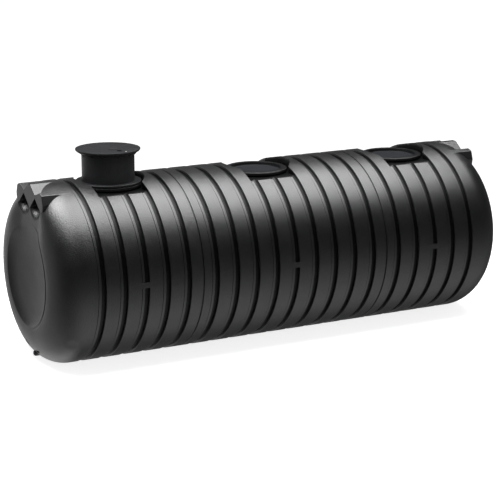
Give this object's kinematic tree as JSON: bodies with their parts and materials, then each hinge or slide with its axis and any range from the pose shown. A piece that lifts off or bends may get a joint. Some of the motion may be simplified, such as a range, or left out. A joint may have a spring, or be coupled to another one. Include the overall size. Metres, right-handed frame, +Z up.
{
  "type": "septic tank",
  "caption": "Ribbed cylindrical underground septic tank of black plastic, with dished ends, sunken manhole necks on top and an access shaft with a lid.",
  "frame": {"origin": "on the floor under the middle of the tank, on its standing face", "axes": "+X along the tank, away from the end with the access shaft; +Z up; -Y towards the side that the picture shows"},
  "size_m": [5.9098, 2.1, 2.4018],
  "materials": {
    "tank_shell": "satin moulded plastic",
    "blank_cover": "matt moulded plastic",
    "access_shaft": "matt moulded plastic",
    "lid": "textured moulded plastic"
  },
  "bodies": {
    "root": {"left_barrel_base": "tank_shell", "left_barrel_crown": "tank_shell", "left_barrel_far_flank": "tank_shell", "left_barrel_near_flank": "tank_shell", "left_bottom_lugs": "tank_shell", "left_end_dish": "tank_shell", "left_manhole_neck": "tank_shell", "left_top_lugs": "tank_shell", "lid": "lid", "lid_frame": "access_shaft", "middle_barrel_base": "tank_shell", "middle_barrel_crown": "tank_shell", "middle_barrel_far_flank": "tank_shell", "middle_barrel_near_flank": "tank_shell", "middle_manhole_cover": "blank_cover", "middle_manhole_neck": "tank_shell", "right_barrel_base": "tank_shell", "right_barrel_crown": "tank_shell", "right_barrel_far_flank": "tank_shell", "right_barrel_near_flank": "tank_shell", "right_bottom_lugs": "tank_shell", "right_end_dish": "tank_shell", "right_manhole_cover": "blank_cover", "right_manhole_neck": "tank_shell", "right_top_lugs": "tank_shell", "shaft_collar": "access_shaft", "shaft_tube": "access_shaft"}
  },
  "joints": []
}
